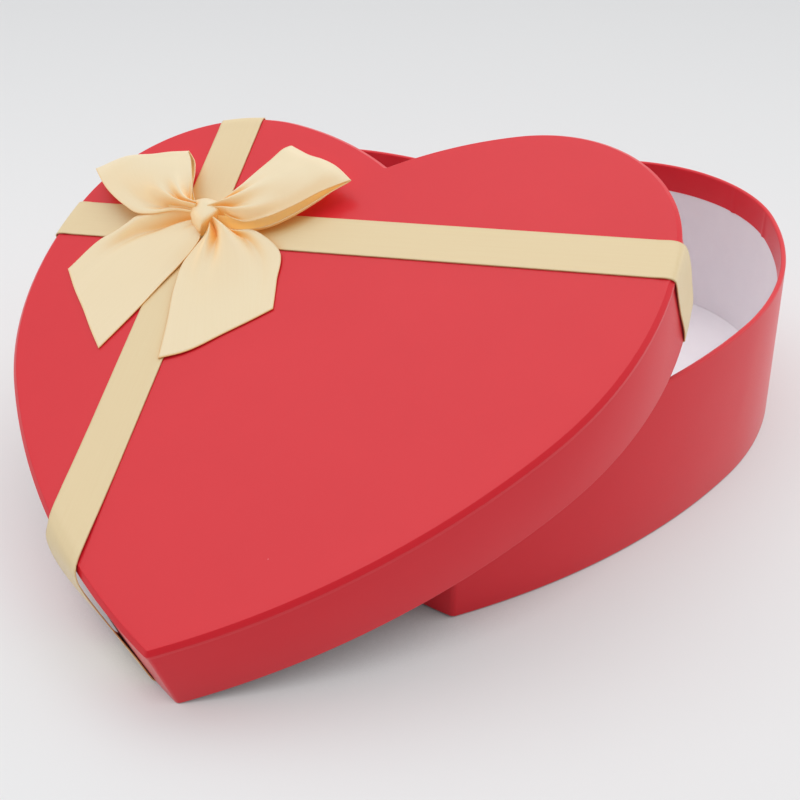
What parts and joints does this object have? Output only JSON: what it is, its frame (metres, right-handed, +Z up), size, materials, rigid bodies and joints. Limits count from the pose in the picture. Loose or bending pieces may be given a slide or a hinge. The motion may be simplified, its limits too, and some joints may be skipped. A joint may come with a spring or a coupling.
{
  "type": "heart-shaped gift box",
  "caption": "Heart-shaped paper-covered gift box with a lift-off lid that leans on the base, crossed by satin ribbon bands and topped with a tied bow.",
  "frame": {"origin": "on the surface that the base stands on, at the middle of the base heart's length, on its axis", "axes": "+Z up, +Y from the base heart's tip to its cleft, +X to the right seen from the tip"},
  "size_m": [0.3308, 0.3379, 0.1384],
  "materials": {
    "red_paper": "satin",
    "white_paper": "matte",
    "greyboard": "matte",
    "satin_ribbon": "satin",
    "hot_melt_glue": "satin"
  },
  "bodies": {
    "base": {"base_floor_board": "greyboard", "base_wall_board_left": "greyboard", "base_wall_board_right": "greyboard", "base_tip_tape": "white_paper", "base_cleft_tape": "white_paper", "base_wrap_paper": "red_paper", "base_wall_liner_left": "white_paper", "base_wall_liner_right": "white_paper", "base_floor_liner": "white_paper", "base_underside_paper": "red_paper"},
    "lid": {"lid_top_board": "greyboard", "lid_wall_board_left": "greyboard", "lid_wall_board_right": "greyboard", "lid_tip_tape": "white_paper", "lid_cleft_tape": "white_paper", "lid_wrap_paper": "red_paper", "lid_top_paper": "red_paper", "lid_wall_liner_left": "white_paper", "lid_wall_liner_right": "white_paper", "lid_top_liner": "white_paper", "ribbon_across": "satin_ribbon", "ribbon_along": "satin_ribbon", "bow_left_loop": "satin_ribbon", "bow_right_loop": "satin_ribbon", "bow_left_tail": "satin_ribbon", "bow_right_tail": "satin_ribbon", "bow_knot": "satin_ribbon", "bow_glue_pad": "hot_melt_glue"}
  },
  "joints": [
    {"name": "lid_lift", "type": "slide", "parent": "base", "child": "lid", "axis": [0, 0, 1], "range_m": [0, 0.15]}
  ]
}
